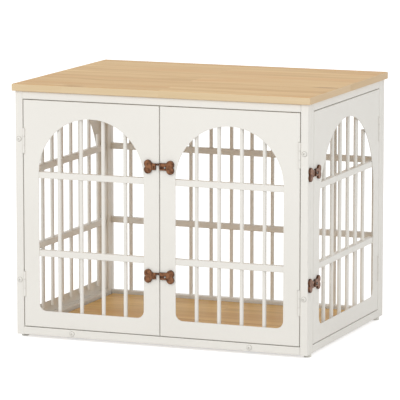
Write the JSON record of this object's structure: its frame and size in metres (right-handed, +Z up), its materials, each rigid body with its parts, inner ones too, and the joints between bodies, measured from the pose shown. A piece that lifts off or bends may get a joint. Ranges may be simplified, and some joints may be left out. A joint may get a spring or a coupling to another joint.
{
  "type": "dog crate end table",
  "caption": "Dog crate end table: oak look top and floor boards on an off-white steel tube cabinet, arched barred doors and walls, hinges and bone shaped slide latches.",
  "frame": {"origin": "on the floor, under the centre of the top board", "axes": "+X to the right as seen from the front, +Y from the pair of front doors to the back, +Z up"},
  "size_m": [0.8, 0.6, 0.65],
  "materials": {
    "white_paint": "off-white powder coat, satin",
    "white_plastic": "moulded off-white plastic, matte",
    "bolt_finish": "pale coated bolt heads, satin",
    "zinc_steel": "zinc plated, satin",
    "oak_top": "light oak grain, matte lacquer",
    "oak_floor": "honey oak grain, matte lacquer",
    "antique_copper": "antique copper plating, satin"
  },
  "bodies": {
    "cabinet": {"front_frame": "white_paint", "back_frame": "white_paint", "left_side_frame": "white_paint", "right_side_frame": "white_paint", "floor_supports": "white_paint", "top_board_plates": "white_paint", "back_bars": "white_paint", "back_rails": "white_paint", "left_side_panel": "white_paint", "left_side_bars": "white_paint", "left_side_rails": "white_paint", "front_left_hinge_frame_leaves": "white_paint", "front_right_hinge_frame_leaves": "white_paint", "side_hinge_frame_leaves": "white_paint", "post_end_caps": "white_plastic", "feet": "white_plastic", "frame_bolts": "bolt_finish", "floor_support_bolts": "bolt_finish", "rivet_nuts": "zinc_steel", "floor_support_nuts": "zinc_steel", "top_board_screws": "zinc_steel", "front_left_hinge_pins": "zinc_steel", "front_right_hinge_pins": "zinc_steel", "side_hinge_pins": "zinc_steel", "side_latch_guide_rivets": "zinc_steel", "top_board": "oak_top", "floor_board": "oak_floor", "side_latch_guides": "antique_copper"},
    "front_left_door": {"front_left_door_panel": "white_paint", "front_left_door_bars": "white_paint", "front_left_door_rails": "white_paint", "front_left_hinge_door_leaves": "white_paint", "front_latch_guides": "antique_copper", "front_latch_guide_rivets": "zinc_steel"},
    "front_right_door": {"front_right_door_panel": "white_paint", "front_right_door_bars": "white_paint", "front_right_door_rails": "white_paint", "front_right_hinge_door_leaves": "white_paint", "front_latch_keepers": "antique_copper", "front_latch_keeper_rivets": "zinc_steel", "front_latch_keeper_screws": "zinc_steel"},
    "side_door": {"side_door_panel": "white_paint", "side_door_bars": "white_paint", "side_door_rails": "white_paint", "side_hinge_door_leaves": "white_paint", "side_latch_keepers": "antique_copper", "side_latch_keeper_rivets": "zinc_steel", "side_latch_keeper_screws": "zinc_steel"},
    "front_upper_bolt": {"front_upper_latch_bolt": "antique_copper"},
    "front_lower_bolt": {"front_lower_latch_bolt": "antique_copper"},
    "side_upper_bolt": {"side_upper_latch_bolt": "antique_copper"},
    "side_lower_bolt": {"side_lower_latch_bolt": "antique_copper"}
  },
  "joints": [
    {"name": "front_left_door_hinge", "type": "hinge", "parent": "cabinet", "child": "front_left_door", "pos_m": [-0.37, -0.2933, 0.322], "axis": [0, 0, -1], "range_deg": [0, 160]},
    {"name": "front_right_door_hinge", "type": "hinge", "parent": "cabinet", "child": "front_right_door", "pos_m": [0.37, -0.2933, 0.322], "axis": [0, 0, 1], "range_deg": [0, 160]},
    {"name": "side_door_hinge", "type": "hinge", "parent": "cabinet", "child": "side_door", "pos_m": [0.3933, 0.25, 0.322], "axis": [0, 0, 1], "range_deg": [0, 160]},
    {"name": "front_upper_bolt_slide", "type": "slide", "parent": "front_left_door", "child": "front_upper_bolt", "axis": [1, 0, 0], "range_m": [0, 0.007]},
    {"name": "side_upper_bolt_slide", "type": "slide", "parent": "cabinet", "child": "side_upper_bolt", "axis": [0, 1, 0], "range_m": [0, 0.007]},
    {"name": "front_lower_bolt_slide", "type": "slide", "parent": "front_left_door", "child": "front_lower_bolt", "axis": [1, 0, 0], "range_m": [0, 0.007]},
    {"name": "side_lower_bolt_slide", "type": "slide", "parent": "cabinet", "child": "side_lower_bolt", "axis": [0, 1, 0], "range_m": [0, 0.007]}
  ]
}
